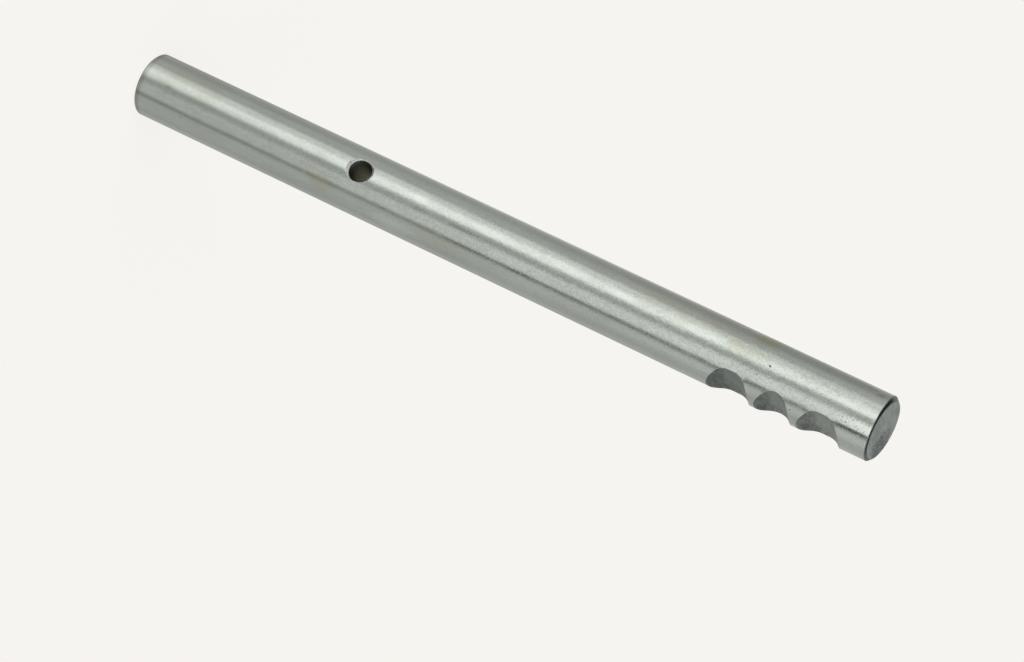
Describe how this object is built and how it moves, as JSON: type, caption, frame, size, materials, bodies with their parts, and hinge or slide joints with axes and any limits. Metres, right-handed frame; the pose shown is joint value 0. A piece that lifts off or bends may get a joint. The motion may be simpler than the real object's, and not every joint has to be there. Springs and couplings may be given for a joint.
{
  "type": "shift rod",
  "caption": "Round steel gearbox shift rod with detent notches milled across one side near its end and a countersunk cross hole for the fork pin.",
  "frame": {"origin": "middle of the plain end, on the surface that the rod stands on", "axes": "+Z along the rod up to the notched end, +X out of the detent notches, and the cross hole runs along Y"},
  "size_m": [0.014, 0.014, 0.1768],
  "materials": {
    "ground_steel": "ground bar, satin, with handling marks and light tarnish"
  },
  "bodies": {
    "root": {"shift_rod": "ground_steel"}
  },
  "joints": []
}
